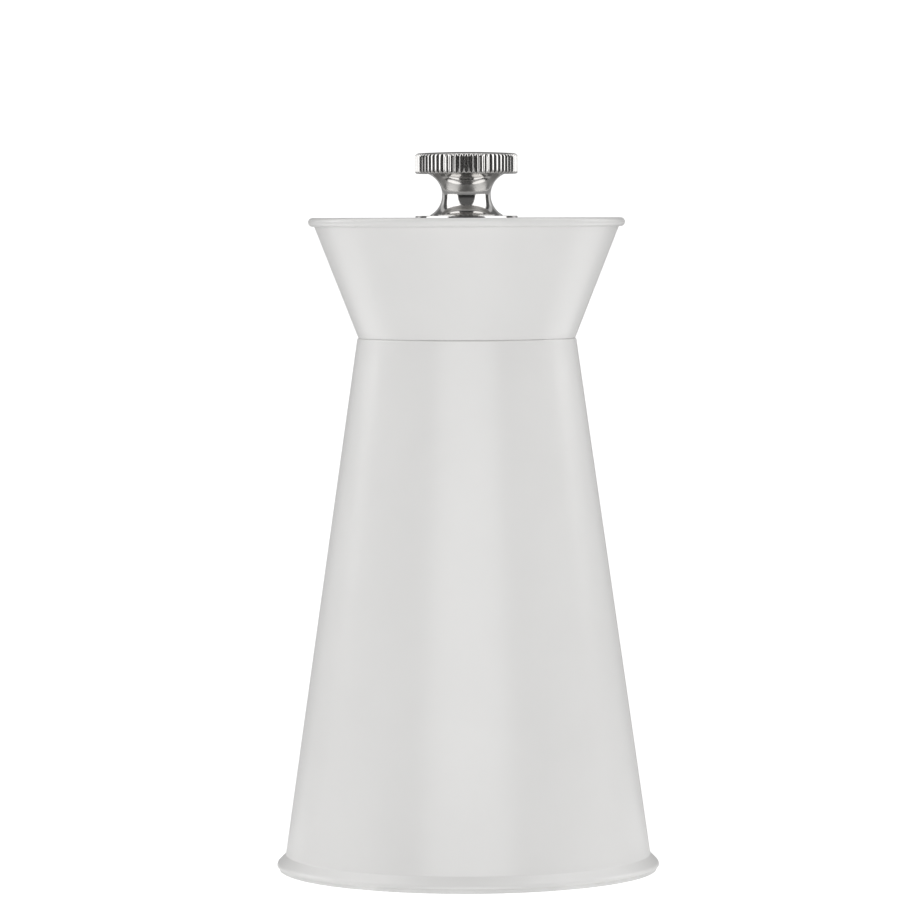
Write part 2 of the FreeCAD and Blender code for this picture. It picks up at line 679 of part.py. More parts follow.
def cap_core():
    """Moulded core: hub for the spindle, ribs, a web on the folded edge and the spigot below it."""
    web_low = lip_top_z + seat
    web_high = web_low + core_web
    spigot_foot = cap_foot_z - spigot_length
    flange_low = plate_bottom_z - 2.0
    top = plate_bottom_z - seat
    bore = swing_radius
    core = turned(
        (bore, drive_plate_top_z + seat), (spigot_radius - spigot_wall, drive_plate_top_z + seat),
        (spigot_radius - spigot_wall, spigot_foot + 0.5), (spigot_radius - spigot_wall + 0.5, spigot_foot),
        (spigot_radius - 0.5, spigot_foot), (spigot_radius, spigot_foot + 0.5), (spigot_radius, web_low),
        (cap_inside(web_low) - 0.1, web_low), (cap_inside(web_high) - 0.1, web_high),
        (core_hub_radius, web_high), (core_hub_radius, flange_low), (core_flange_radius, flange_low),
        (core_flange_radius, top), (bore, top))
    rib_outline = [(core_hub_radius - 0.5, web_high - 0.5), (cap_inside(web_high) - 1.5, web_high - 0.5),
                   (core_flange_radius - 0.5, flange_low + 0.5), (core_hub_radius - 0.5, flange_low + 0.5)]
    rib = section(*rib_outline).extrude(Vector(0, core_rib_thickness, 0))
    rib.translate(Vector(0, -core_rib_thickness / 2, 0))
    whole = core.multiFuse(ring_of(rib, core_ribs)).removeSplitter()
    pilots = ring_of(placed(pilot_cutter(), cap_screw_circle(), plate_top_z), screws_per_ring, 30)
    pilots += ring_of(cylinder(plate_screw_radius - screw_bite, drive_plate_top_z - 1,
                               drive_plate_top_z + plate_screw_length(), plate_screw_circle()),
                      screws_per_ring, 90)
    return whole.cut(Part.makeCompound(pilots))


def pilot_cutter():
    """Countersink and pilot hole that the cap screws bite into, with the plate's face at z = 0."""
    head_radius, head_height = cap_head()
    narrow = cap_screw_radius - screw_bite
    return turned((0.0, 1.0), (head_radius + seat, 1.0), (head_radius + seat, 0.0), (narrow, -head_height),
                  (narrow, -9.5), (0.0, -9.5))


def drive_plate():
    """Steel plate with the square hole that turns the spindle."""
    disc = cylinder(drive_plate_radius, drive_plate_z, drive_plate_top_z)
    holes = ring_of(cylinder(plate_screw_radius + 0.1, drive_plate_z - 1, drive_plate_top_z + 1,
                             plate_screw_circle()), screws_per_ring, 90)
    return disc.cut(Part.makeCompound(holes)).cut(
        square_bar(square_hole_side, drive_plate_z - 1, drive_plate_top_z + 1))


def plate_screw_circle():
    return 0.5 * (drive_plate_radius + spindle_corner) + 0.15


def plate_screw_length():
    return 6.0


def drive_plate_screws():
    one = screw(plate_screw_radius, plate_screw_length() + drive_plate_thickness - 0.5, 1.8, 0.9)
    return Part.makeCompound(ring_of(placed(one, plate_screw_circle(), drive_plate_z - seat),
                                     screws_per_ring, 90))


# ---- knob ---------------------------------------------------------------------------------------
def knob_washer():
    """Polished disc on the top plate that the knob turns on."""
    edge = 0.15
    bore = thread_radius + 0.25
    return turned(
        (bore, plate_top_z + seat), (washer_radius, plate_top_z + seat), (washer_radius, washer_top_z - edge),
        (on_circle((washer_radius - edge, washer_top_z - edge), edge, 45), (washer_radius - edge, washer_top_z)),
        (bore, washer_top_z))


def flare(waist_radius, far, radius, upwards):
    """Hollow from an upright waist out to a far point: (its start on the waist, its middle)."""
    rise = math.sqrt(radius ** 2 - (radius - (far[0] - waist_radius)) ** 2)
    centre = (waist_radius + radius, far[1] - rise if upwards else far[1] + rise)
    turn = math.degrees(math.asin(rise / radius)) * (-1 if upwards else 1)
    return (waist_radius, centre[1]), on_circle(centre, radius, 180 + turn / 2)


def adjusting_knob():
    """Solid knob: flared foot, waist, and a flat head with straight knurling round its rim."""
    foot_edge = 0.15
    head_low = knob_foot_z + knob_height - knob_head_height
    head_high = knob_foot_z + knob_height
    top_edge, low_edge = 0.85, 0.5
    bore = thread_radius + 0.1
    bore_top = spindle_top_z + 1.2
    foot = (knob_foot_radius, knob_foot_z + foot_edge)
    shoulder = (knob_shoulder_radius, head_low)
    waist_low, foot_hollow = flare(knob_waist_radius, foot, knob_foot_flare, False)
    waist_high, shoulder_hollow = flare(knob_waist_radius, shoulder, knob_shoulder_flare, True)
    dome_edge = knob_head_radius - top_edge
    dome_radius = (dome_edge ** 2 + knob_dome ** 2) / (2 * knob_dome)
    dome_mid_r = dome_edge / 2
    dome_mid = (dome_mid_r, head_high + knob_dome - dome_radius
                + math.sqrt(dome_radius ** 2 - dome_mid_r ** 2))
    body = turned(
        (bore + 0.4, knob_foot_z), (knob_foot_radius, knob_foot_z), foot,
        (foot_hollow, waist_low), waist_high, (shoulder_hollow, shoulder),
        (knob_head_radius - low_edge, head_low),
        (on_circle((knob_head_radius - low_edge, head_low + low_edge), low_edge, -45),
         (knob_head_radius, head_low + low_edge)),
        (knob_head_radius, head_high - top_edge),
        (on_circle((dome_edge, head_high - top_edge), top_edge, 45), (dome_edge, head_high)),
        (dome_mid, (0.0, head_high + knob_dome)),
        (0.0, bore_top + 0.3 * bore), (bore, bore_top), (bore, knob_foot_z + 0.4))
    pitch = 2 * math.pi * knob_head_radius / knurl_count
    half_width = 0.36 * pitch
    outer = knob_head_radius + 0.2
    spread = half_width * (knurl_depth + 0.2) / knurl_depth
    corners = [Vector(knob_head_radius - knurl_depth, 0, head_low - 0.5), Vector(outer, spread, head_low - 0.5),
               Vector(outer, -spread, head_low - 0.5)]
    groove = Part.Face(Part.makePolygon(corners + corners[:1])).extrude(Vector(0, 0, knob_head_height + 1))
    return body.cut(Part.makeCompound(ring_of(groove, knurl_count)))


# ---- export -------------------------------------------------------------------------------------
PIECES = {
    "body_shell": body_shell,
    "neck_bush": neck_bush,
    "hopper": hopper,
    "base_plate": base_plate,
    "foot_ring": foot_ring,
    "base_screws": base_screws,
    "grinder_housing": grinder_housing,
    "housing_screws": housing_screws,
    "stator": stator,
    "bridge": bridge,
    "thrust_washer": thrust_washer,
    "spring": spring,
    "spindle": spindle,
    "rotor": rotor,
    "rotor_nut": rotor_nut,
    "spindle_clip": spindle_clip,
    "cap_shell": cap_shell,
    "top_plate": top_plate,
    "cap_core": cap_core,
    "cap_screws": cap_screws,
    "drive_plate": drive_plate,
    "drive_plate_screws": drive_plate_screws,
    "knob_washer": knob_washer,
    "adjusting_knob": adjusting_knob,
}


def main():
    os.makedirs("parts", exist_ok=True)
    for name, build in PIECES.items():
        shape = build()
        solids = shape.Solids
        if not solids or not all(solid.isValid() and solid.Volume > 0 for solid in solids):
            raise RuntimeError(f"{name} is not a set of valid solids")
        whole = solids[0] if len(solids) == 1 else Part.makeCompound(solids)
        whole.exportStep(f"parts/{name}.step")
        box = whole.BoundBox
        print(f"{name:20s} solids {len(solids)}  volume {whole.Volume / 1000:8.3f} cm3"
              f"  z {box.ZMin:7.2f} to {box.ZMax:7.2f}  r {max(box.XMax, -box.XMin):6.2f}")


main()
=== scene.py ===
"""Looks of the pepper mill: fine turned skins, procedural materials, studio and camera.

Metres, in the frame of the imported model: +Z up, origin on the axis at the foot. Heights and radii
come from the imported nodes. Only edge roundings and surface detail are set here.
"""
import bmesh
import bpy
import json
import math

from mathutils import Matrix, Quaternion, Vector

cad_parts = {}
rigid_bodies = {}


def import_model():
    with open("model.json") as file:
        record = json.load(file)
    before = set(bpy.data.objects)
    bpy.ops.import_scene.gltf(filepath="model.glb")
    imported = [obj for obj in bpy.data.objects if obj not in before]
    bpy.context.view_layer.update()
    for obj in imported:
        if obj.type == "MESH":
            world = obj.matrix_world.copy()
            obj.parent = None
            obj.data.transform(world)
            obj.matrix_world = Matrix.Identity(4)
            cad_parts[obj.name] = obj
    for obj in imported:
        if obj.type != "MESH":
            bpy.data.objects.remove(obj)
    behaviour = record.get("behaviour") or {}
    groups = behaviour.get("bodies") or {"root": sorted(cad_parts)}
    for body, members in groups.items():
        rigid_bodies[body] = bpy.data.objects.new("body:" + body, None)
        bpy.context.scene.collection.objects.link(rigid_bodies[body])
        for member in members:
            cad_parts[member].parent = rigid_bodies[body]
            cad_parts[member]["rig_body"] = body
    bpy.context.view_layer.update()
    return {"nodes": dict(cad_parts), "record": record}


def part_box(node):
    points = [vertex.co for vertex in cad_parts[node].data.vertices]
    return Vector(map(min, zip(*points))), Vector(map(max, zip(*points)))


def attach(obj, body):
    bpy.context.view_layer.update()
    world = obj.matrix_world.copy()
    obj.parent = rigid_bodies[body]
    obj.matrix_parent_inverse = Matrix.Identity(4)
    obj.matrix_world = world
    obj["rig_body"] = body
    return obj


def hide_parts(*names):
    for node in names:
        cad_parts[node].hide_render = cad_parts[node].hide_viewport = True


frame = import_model()
nodes = frame["nodes"]
SLOTS = {row["node"]: row["material_slot"] for row in frame["record"]["subparts"]}

MM = 0.001
SMOOTH_ANGLE = math.radians(32)
ROUND = 256                     # facets round a large turned piece

# Edge roundings of the sheet metal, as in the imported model
SHEET = 0.8 * MM
WALL_MARGIN = 4 * MM            # distance from a wall's ends to where it is gauged
FOLD_RADIUS = 0.35 * MM
CAP_FOLD_RADIUS = 0.12 * MM     # the cap's lower edge is sharper than the body's mouth
SEAM_CLOSE = 0.1 * MM           # the cap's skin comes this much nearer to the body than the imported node
FOOT_BEAD_RADIUS = 1.05 * MM
FOOT_BEAD_LOWER = 0.25 * MM     # radius of the bead's lower edge
FOOT_FLARE_ANGLE = 45           # slope of the turned-out sheet above the bead, in degrees
FOOT_FLARE_FILLET = 0.3 * MM
RIM_BEAD_FILLET = 0.25 * MM
LIP_STEP = 0.5 * MM
LIP_CLEARANCE = 0.03 * MM       # between the foot ring's lip and the bead above it
RING_TREAD_EDGE = 0.35 * MM
RING_LIP_EDGE = 0.2 * MM
TREAD_GROOVE_HALF = 0.3 * MM    # half the width of the V groove in the ring's tread
TREAD_GROOVE_DEPTH = 0.25 * MM

KNOB_HEAD_HEIGHT = 4.0 * MM
KNOB_DOME = 0.25 * MM
KNOB_FOOT_RADIUS = 7.05 * MM
KNOB_SHOULDER_RADIUS = 7.48 * MM
KNOB_FLARE = 4.4 * MM           # hollows between the waist and the foot, and the waist and the head
KNOB_FOOT_EDGE = 0.15 * MM
KNOB_FOOT_BREAK = 0.07 * MM
KNOB_TOP_EDGE = 0.85 * MM
KNOB_LOW_EDGE = 0.5 * MM
KNOB_BORE_CHAMFER = 0.4 * MM
KNOB_BORE_ABOVE = 1.2 * MM      # bore's depth beyond the spindle's end
DRILL_POINT = 0.3               # height of the bore's drilled point, in bore radii
KNURL_COUNT = 64
KNURL_DEPTH = 0.36 * MM
KNURL_FLAT = 0.15               # half the flat top of a rib, in knurl pitches
KNURL_SEGMENTS = 12             # facets to a rib
WASHER_EDGE = 0.15 * MM

SPINDLE_CORNER = 0.3 * MM
SPINDLE_STEM_CHAMFER = 0.3 * MM
SPINDLE_SEAT = 3.8 * MM         # shoulder of the spindle above the rotor's underside
SPINDLE_SQUARE_ABOVE = 5 * MM   # top of the square part above the drive plate
SPINDLE_TIP = 0.4 * MM
CLIP_GROOVE_DEPTH = 0.35 * MM
THREAD_PITCH = 0.8 * MM
THREAD_DEPTH = 0.4 * MM
THREAD_FLANK = 2.6              # steepness of the thread's flanks
THREAD_CREST = 0.15             # share of the depth that its flat crest takes
THREAD_RINGS = 12               # rings of points to a turn of thread

FLOOR_DROP = 0.03 * MM          # keeps the floor clear of the ring's tread


# ---- outlines -----------------------------------------------------------------------------------
def wall_radius(node, z, outer=True):
    """Radius of a node's outermost or innermost surface where its mesh crosses a height."""
    mesh = nodes[node].data
    found = []
    for edge in mesh.edges:
        a, b = (mesh.vertices[i].co for i in edge.vertices)
        if (a.z - z) * (b.z - z) <= 0 and a.z != b.z:
            point = a.lerp(b, (z - a.z) / (b.z - a.z))
            found.append(math.hypot(point.x, point.y))
    return max(found) if outer else min(found)


def straight_wall(node, low_z, high_z):
    """Outer radius of a straight wall as a function of height, and its slope, from two heights on it."""
    low_r = wall_radius(node, low_z)
    slope = (wall_radius(node, high_z) - low_r) / (high_z - low_z)
    return lambda z: low_r + slope * (z - low_z), slope


def arc(centre, radius, start, end, steps=10):
    """Points (radius, z) on a circle, from one angle in degrees to another."""
    points = []
    for i in range(steps + 1):
        angle = math.radians(start + (end - start) * i / steps)
        points.append((centre[0] + radius * math.cos(angle), centre[1] + radius * math.sin(angle)))
    return points


def line(start, end, steps=1):
    """Points on a straight stretch, without its end."""
    return [(start[0] + (end[0] - start[0]) * i / steps, start[1] + (end[1] - start[1]) * i / steps)
            for i in range(steps)]


def eased(before, corner, after, radius, steps=6):
    """Points of the arc that rounds a corner of an outline."""
    here = Vector(corner)
    back = Vector(before) - here
    onward = Vector(after) - here
    half = back.angle(onward) / 2
    reach = min(radius / math.tan(half), 0.49 * back.length, 0.49 * onward.length)
    size = reach * math.tan(half)
    back.normalize()
    onward.normalize()
    middle = here + (back + onward).normalized() * (size / math.sin(half))
    first = here + back * reach - middle
    last = here + onward * reach - middle
    start = math.atan2(first.y, first.x)
    turn = math.atan2(first.x * last.y - first.y * last.x, first.dot(last))
    return [(middle.x + size * math.cos(start + turn * k / steps),
             middle.y + size * math.sin(start + turn * k / steps)) for k in range(steps + 1)]


def rounded(corners, radius, steps=5):
    """Closed outline through corners, all rounded alike."""
    count = len(corners)
    return [point for i in range(count)
            for point in eased(corners[i - 1], corners[i], corners[(i + 1) % count], radius, steps)]


def bead_joint(centre, radius, fillet, wall, along, outward):
    """Angles where a bead's circle meets a straight wall through a small hollow.

    Returns the bead's end angle, the hollow's centre and the hollow's two angles.
    """
    depth = (Vector(centre) - Vector(wall)).dot(Vector(outward))
    reach = math.sqrt((radius + fillet) ** 2 - (fillet - depth) ** 2)
    hollow = Vector(centre) + Vector(outward) * (fillet - depth) + Vector(along) * reach
    to_hollow = hollow - Vector(centre)
    bead_end = math.degrees(math.atan2(to_hollow.y, to_hollow.x))
    return bead_end, tuple(hollow), bead_end + 180, math.degrees(math.atan2(-outward[1], -outward[0]))


# ---- meshes -------------------------------------------------------------------------------------
def revolve(name, outline, segments=ROUND, shape=None):
    """Mesh of revolution about Z of a closed outline of (radius, z) points.

    `shape(radius, z, angle)` may change a point's radius, for knurls and threads.
    """
    mesh = bpy.data.meshes.new(name)
    bm = bmesh.new()
    rings = []
    for radius, z in outline:
        if radius < 1e-7:
            rings.append([bm.verts.new((0, 0, z))])
            continue
        ring = []
        for i in range(segments):
            angle = 2 * math.pi * i / segments
            r = shape(radius, z, angle) if shape else radius
            ring.append(bm.verts.new((r * math.cos(angle), r * math.sin(angle), z)))
        rings.append(ring)
    for a, b in zip(rings, rings[1:] + rings[:1]):
        if len(a) == 1 and len(b) == 1:
            continue
        for i in range(segments):
            j = (i + 1) % segments
            if len(a) == 1:
                bm.faces.new((a[0], b[j], b[i]))
            elif len(b) == 1:
                bm.faces.new((a[i], a[j], b[0]))
            else:
                bm.faces.new((a[i], a[j], b[j], b[i]))
    bmesh.ops.recalc_face_normals(bm, faces=bm.faces)
    bm.to_mesh(mesh)
    bm.free()
    return smooth(add_object(name, mesh))


def lofted(name, stations, segments=120):
    """Closed bar along Z through stations of (z, radius function of height and angle)."""
    mesh = bpy.data.meshes.new(name)
    bm = bmesh.new()
    rings = []
    for z, radius in stations:
        angles = [2 * math.pi * (i + 0.5) / segments for i in range(segments)]
        rings.append([bm.verts.new((radius(z, a) * math.cos(a), radius(z, a) * math.sin(a), z))
                      for a in angles])
    for a, b in zip(rings, rings[1:]):
        for i in range(segments):
            j = (i + 1) % segments
            bm.faces.new((a[i], a[j], b[j], b[i]))
    bm.faces.new(rings[0])
    bm.faces.new(rings[-1])
    bmesh.ops.recalc_face_normals(bm, faces=bm.faces)
    bm.to_mesh(mesh)
    bm.free()
    return smooth(add_object(name, mesh))


def add_object(name, mesh):
    piece = bpy.data.objects.new(name, mesh)
    bpy.context.scene.collection.objects.link(piece)
    return piece


def smooth(piece):
    """Smooth shading with sharp edges kept."""
    piece.data.shade_smooth()
    piece.data.set_sharp_from_angle(angle=SMOOTH_ANGLE)
    return piece


def install(piece, node):
    """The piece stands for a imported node: same body, slot and material."""
    piece.data.materials.append(MATERIALS[SLOTS[node]])
    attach(piece, nodes[node]["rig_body"])
    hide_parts(node)


# ---- materials ----------------------------------------------------------------------------------
def new_material(name, **values):
    """Principled material, its node tree and its shader."""
    material = bpy.data.materials.new(name)
    material.use_nodes = True
    tree = material.node_tree
    shader = tree.nodes["Principled BSDF"]
    for key, value in values.items():
        shader.inputs[key.replace("_", " ")].default_value = value
    return material, tree, shader


def noise(tree, scale, detail=3.0, roughness=0.5):
    """Noise in object space, in features per metre."""
    place = tree.nodes.new("ShaderNodeTexCoord")
    texture = tree.nodes.new("ShaderNodeTexNoise")
    texture.inputs["Scale"].default_value = scale
    texture.inputs["Detail"].default_value = detail
    texture.inputs["Roughness"].default_value = roughness
    tree.links.new(place.outputs["Object"], texture.inputs["Vector"])
    return texture.outputs["Fac"]


def ramp(tree, source, low, high):
    """Colour ramp between two colours, over the middle of the source's range."""
    node = tree.nodes.new("ShaderNodeValToRGB")
    for element, position, colour in zip(node.color_ramp.elements, (0.3, 0.7), (low, high)):
        element.position = position
        element.color = (*colour, 1)
    tree.links.new(source, node.inputs["Fac"])
    return node.outputs["Color"]


def spread(tree, source, low, high):
    """Number spread between two values over a 0 to 1 source."""
    node = tree.nodes.new("ShaderNodeMapRange")
    node.inputs["To Min"].default_value = low
    node.inputs["To Max"].default_value = high
    tree.links.new(source, node.inputs["Value"])
    return node.outputs["Result"]


def bump(tree, source, distance, below=None):
    """Bump from a height source. `distance` is in metres."""
    node = tree.nodes.new("ShaderNodeBump")
    node.inputs["Distance"].default_value = distance
    node.inputs["Strength"].default_value = 1.0
    tree.links.new(source, node.inputs["Height"])
    if below is not None:
        tree.links.new(below, node.inputs["Normal"])
    return node.outputs["Normal"]


def coated_steel():
    """White epoxy coating on sheet steel: satin, with a faint orange peel."""
    material, tree, shader = new_material("coated_steel", IOR=1.5)
    tone = noise(tree, 60, 4, 0.55)
    tree.links.new(ramp(tree, tone, (0.79, 0.785, 0.775), (0.81, 0.805, 0.795)),
                   shader.inputs["Base Color"])
    tree.links.new(spread(tree, noise(tree, 900, 2), 0.27, 0.34), shader.inputs["Roughness"])
    peel = bump(tree, noise(tree, 1400, 2, 0.4), 0.000006)
    tree.links.new(bump(tree, noise(tree, 220, 2, 0.4), 0.00001, below=peel), shader.inputs["Normal"])
    return material


def turned_marks(tree, scale):
    """Fine lathe lines: noise that changes along the radius and the height only."""
    place = tree.nodes.new("ShaderNodeTexCoord")
    split = tree.nodes.new("ShaderNodeSeparateXYZ")
    join = tree.nodes.new("ShaderNodeCombineXYZ")
    square_x = tree.nodes.new("ShaderNodeMath")
    square_y = tree.nodes.new("ShaderNodeMath")
    total = tree.nodes.new("ShaderNodeMath")
    root = tree.nodes.new("ShaderNodeMath")
    texture = tree.nodes.new("ShaderNodeTexNoise")
    square_x.operation = square_y.operation = "MULTIPLY"
    total.operation = "ADD"
    root.operation = "SQRT"
    texture.inputs["Scale"].default_value = scale
    texture.inputs["Detail"].default_value = 2
    link = tree.links.new
    link(place.outputs["Object"], split.inputs["Vector"])
    for node, axis in ((square_x, "X"), (square_y, "Y")):
        link(split.outputs[axis], node.inputs[0])
        link(split.outputs[axis], node.inputs[1])
    link(square_x.outputs[0], total.inputs[0])
    link(square_y.outputs[0], total.inputs[1])
    link(total.outputs[0], root.inputs[0])
    link(root.outputs[0], join.inputs["X"])
    link(split.outputs["Z"], join.inputs["Z"])
    link(join.outputs["Vector"], texture.inputs["Vector"])
    return texture.outputs["Fac"]


def polished_steel():
    """Turned stainless steel, polished, with the last of its lathe lines."""
    material, tree, shader = new_material("polished_steel", Metallic=1.0)
    tone = noise(tree, 300, 3)
    tree.links.new(ramp(tree, tone, (0.70, 0.69, 0.675), (0.76, 0.75, 0.74)), shader.inputs["Base Color"])
    marks = turned_marks(tree, 9000)
    tree.links.new(spread(tree, marks, 0.07, 0.15), shader.inputs["Roughness"])
    tree.links.new(bump(tree, marks, 0.0000006), shader.inputs["Normal"])
    return material


def satin_steel():
    """Stainless steel faced on a lathe, with its fine rings."""
    material, tree, shader = new_material("satin_steel", Metallic=1.0)
    tree.links.new(ramp(tree, noise(tree, 120, 3), (0.50, 0.495, 0.485), (0.56, 0.555, 0.545)),
                   shader.inputs["Base Color"])
    marks = turned_marks(tree, 3500)
    tree.links.new(spread(tree, marks, 0.36, 0.5), shader.inputs["Roughness"])
    tree.links.new(bump(tree, marks, 0.000002), shader.inputs["Normal"])
    return material


def worked_steel(name, dark, light, rough_low, rough_high, grain=2500):
    """Steel with an even working finish, such as zinc plate or hardened tooth flanks."""
    material, tree, shader = new_material(name, Metallic=1.0)
    tree.links.new(ramp(tree, noise(tree, 500, 4, 0.6), dark, light), shader.inputs["Base Color"])
    fine = noise(tree, grain, 3)
    tree.links.new(spread(tree, fine, rough_low, rough_high), shader.inputs["Roughness"])
    tree.links.new(bump(tree, fine, 0.000004), shader.inputs["Normal"])
    return material


def moulded(name, dark, light, rough_low=0.42, rough_high=0.55):
    """Moulded plastic or rubber with a fine tool grain."""
    material, tree, shader = new_material(name, IOR=1.48)
    tree.links.new(ramp(tree, noise(tree, 180, 3), dark, light), shader.inputs["Base Color"])
    fine = noise(tree, 1800, 2)
    tree.links.new(spread(tree, fine, rough_low, rough_high), shader.inputs["Roughness"])
    tree.links.new(bump(tree, fine, 0.000012), shader.inputs["Normal"])
    return material


MATERIALS = {
    "coated_steel": coated_steel(),
    "polished_steel": polished_steel(),
    "satin_steel": satin_steel(),
    "grinder_steel": worked_steel("grinder_steel", (0.13, 0.13, 0.135), (0.22, 0.22, 0.225), 0.3, 0.45),
    "plated_steel": worked_steel("plated_steel", (0.50, 0.50, 0.49), (0.60, 0.60, 0.58), 0.22, 0.36),
    "spring_steel": worked_steel("spring_steel", (0.30, 0.29, 0.28), (0.42, 0.41, 0.39), 0.2, 0.32,
                                 grain=4000),
    "dark_plastic": moulded("dark_plastic", (0.018, 0.018, 0.019), (0.03, 0.03, 0.031)),
    "hopper_plastic": moulded("hopper_plastic", (0.66, 0.66, 0.63), (0.72, 0.72, 0.69), 0.3, 0.42),
    "foot_rubber": moulded("foot_rubber", (0.74, 0.74, 0.73), (0.80, 0.80, 0.79), 0.5, 0.65),
}


# ---- turned and sheet-metal pieces --------------------------------------------------------------
def body_shell():
    """Cone with its mouth folded inwards and a rolled bead round its foot."""
    low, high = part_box("body_shell")
    wall, slope = straight_wall("body_shell", low.z + WALL_MARGIN, high.z - WALL_MARGIN)
    fold_z = high.z - FOLD_RADIUS
    top_r = wall(fold_z)
    bead = (high.x - FOOT_BEAD_RADIUS, low.z + FOOT_BEAD_LOWER)
    bead_arc = arc(bead, FOOT_BEAD_RADIUS, 0, FOOT_FLARE_ANGLE, 12)
    end_r, end_z = bead_arc[-1]
    rise = (end_r - wall(end_z)) / (math.tan(math.radians(FOOT_FLARE_ANGLE)) + slope)
    flare_top = (wall(end_z + rise), end_z + rise)
    hollow = eased(bead_arc[-1], flare_top, (top_r, fold_z), FOOT_FLARE_FILLET, 8)
    inner = SHEET / math.cos(math.atan(slope))
    mouth_r = wall_radius("body_shell", high.z - 0.5 * SHEET, outer=False)
    outline = [(wall(low.z) - inner, low.z)]
    outline += arc((high.x - FOOT_BEAD_LOWER, bead[1]), FOOT_BEAD_LOWER, -90, 0, 8)
    outline += bead_arc[1:] + hollow
    outline += line(hollow[-1], (top_r, fold_z), 24)[1:]
    outline += arc((top_r - FOLD_RADIUS, fold_z), FOLD_RADIUS, 0, 90, 10)
    fold_low = high.z - SHEET
    outline += [(mouth_r, high.z), (mouth_r, fold_low), (wall(fold_low) - inner, fold_low)]
    install(revolve("mill_skin", outline), "body_shell")


def cap_shell():
    """Inverted cone with a folded lower edge and a rolled rim."""
    low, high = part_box("cap_shell")
    wall, slope = straight_wall("cap_shell", low.z + WALL_MARGIN, high.z - WALL_MARGIN)
    foot_z = low.z - SEAM_CLOSE
    edge_z = foot_z + CAP_FOLD_RADIUS
    edge_r = wall(edge_z)
    # The wall's outside passes through the centre of the rim bead
    bead_r = (high.x - wall(high.z)) / (1 - slope)
    centre = (high.x - bead_r, high.z - bead_r)
    turn = math.atan(slope)
    along = (-math.sin(turn), -math.cos(turn))
    outward = (math.cos(turn), -math.sin(turn))
    bead_end, hollow, hollow_start, hollow_end = bead_joint(
        centre, bead_r, RIM_BEAD_FILLET, (wall(centre[1]), centre[1]), along, outward)
    inner = SHEET / math.cos(turn)
    plate_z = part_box("top_plate")[0].z
    lip_low = low.z + LIP_STEP
    lip_top = lip_low + SHEET
    lip_r = wall_radius("cap_shell", lip_low + 0.5 * SHEET, outer=False)
    step_r = wall_radius("cap_shell", low.z + 0.5 * LIP_STEP, outer=False)
    wall_top = (hollow[0] - outward[0] * RIM_BEAD_FILLET, hollow[1] - outward[1] * RIM_BEAD_FILLET)
    inner_angle = 180 - math.degrees(math.acos(min(1.0, inner / bead_r)))
    hollow_turn = (hollow_end - hollow_start + 180) % 360 - 180
    outline = [(lip_r, lip_low), (step_r, lip_low), (step_r, foot_z)]
    outline += arc((edge_r - CAP_FOLD_RADIUS, edge_z), CAP_FOLD_RADIUS, -90, 0, 8)
    outline += line((edge_r, edge_z), wall_top, 16)[1:]
    outline += arc(hollow, RIM_BEAD_FILLET, hollow_start + hollow_turn, hollow_start, 6)
    outline += arc(centre, bead_r, bead_end, inner_angle, 22)[1:]
    outline += [(wall(plate_z) - inner, plate_z), (wall(lip_top) - inner, lip_top), (lip_r, lip_top)]
    install(revolve("cap_skin", outline), "cap_shell")


def adjusting_knob():
    """Turned knob whose head is cut by rounded straight knurling."""
    low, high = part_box("adjusting_knob")
    head_r = high.x
    head_low = high.z - KNOB_DOME - KNOB_HEAD_HEIGHT
    head_high = high.z - KNOB_DOME
    waist_r = wall_radius("adjusting_knob", 0.5 * (low.z + head_low))
    bore = wall_radius("adjusting_knob", low.z + 2 * MM, outer=False)
    bore_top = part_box("spindle")[1].z + KNOB_BORE_ABOVE
    foot_top = low.z + KNOB_FOOT_EDGE
    dome_edge = head_r - KNOB_TOP_EDGE
    foot_rise = math.sqrt(KNOB_FLARE ** 2 - (KNOB_FLARE - KNOB_FOOT_RADIUS + waist_r) ** 2)
    head_rise = math.sqrt(KNOB_FLARE ** 2 - (KNOB_FLARE - KNOB_SHOULDER_RADIUS + waist_r) ** 2)
    foot_centre = (waist_r + KNOB_FLARE, foot_top + foot_rise)
    head_centre = (waist_r + KNOB_FLARE, head_low - head_rise)
    foot_turn = math.degrees(math.asin(foot_rise / KNOB_FLARE))
    head_turn = math.degrees(math.asin(head_rise / KNOB_FLARE))
    outline = [(bore + KNOB_BORE_CHAMFER, low.z)]
    outline += eased((bore, low.z), (KNOB_FOOT_RADIUS, low.z), (KNOB_FOOT_RADIUS, foot_top),
                     KNOB_FOOT_BREAK)
    outline += arc(foot_centre, KNOB_FLARE, 180 + foot_turn, 180, 20)
    outline += arc(head_centre, KNOB_FLARE, 180, 180 - head_turn, 20)
    low_round = (head_r - KNOB_LOW_EDGE, head_low + KNOB_LOW_EDGE)
    top_round = (dome_edge, head_high - KNOB_TOP_EDGE)
    outline += line((KNOB_SHOULDER_RADIUS, head_low), (low_round[0], head_low), 4)[1:]
    outline += arc(low_round, KNOB_LOW_EDGE, -90, 0, 8)
    outline += line((head_r, low_round[1]), (head_r, top_round[1]), 4)[1:]
    outline += arc(top_round, KNOB_TOP_EDGE, 0, 90, 12)
    outline += [(dome_edge * (1 - i / 8), head_high + KNOB_DOME * (1 - (1 - i / 8) ** 2))
                for i in range(1, 9)]
    outline += [(0, bore_top + DRILL_POINT * bore), (bore, bore_top), (bore, low.z + KNOB_BORE_CHAMFER)]
    rim = head_r - KNURL_DEPTH - 0.2 * MM

    def knurled(radius, z, angle):
        """Flat-topped ribs between V grooves, fading out over the head's edges."""
        if radius < rim or z < head_low - 0.01 * MM:
            return radius
        across = abs((angle * KNURL_COUNT / (2 * math.pi)) % 1.0 - 0.5)
        groove = max(0.0, (across - KNURL_FLAT) / (0.5 - KNURL_FLAT))
        return min(radius, head_r - KNURL_DEPTH * groove)

    install(revolve("knob_turned", outline, KNURL_COUNT * KNURL_SEGMENTS, knurled), "adjusting_knob")


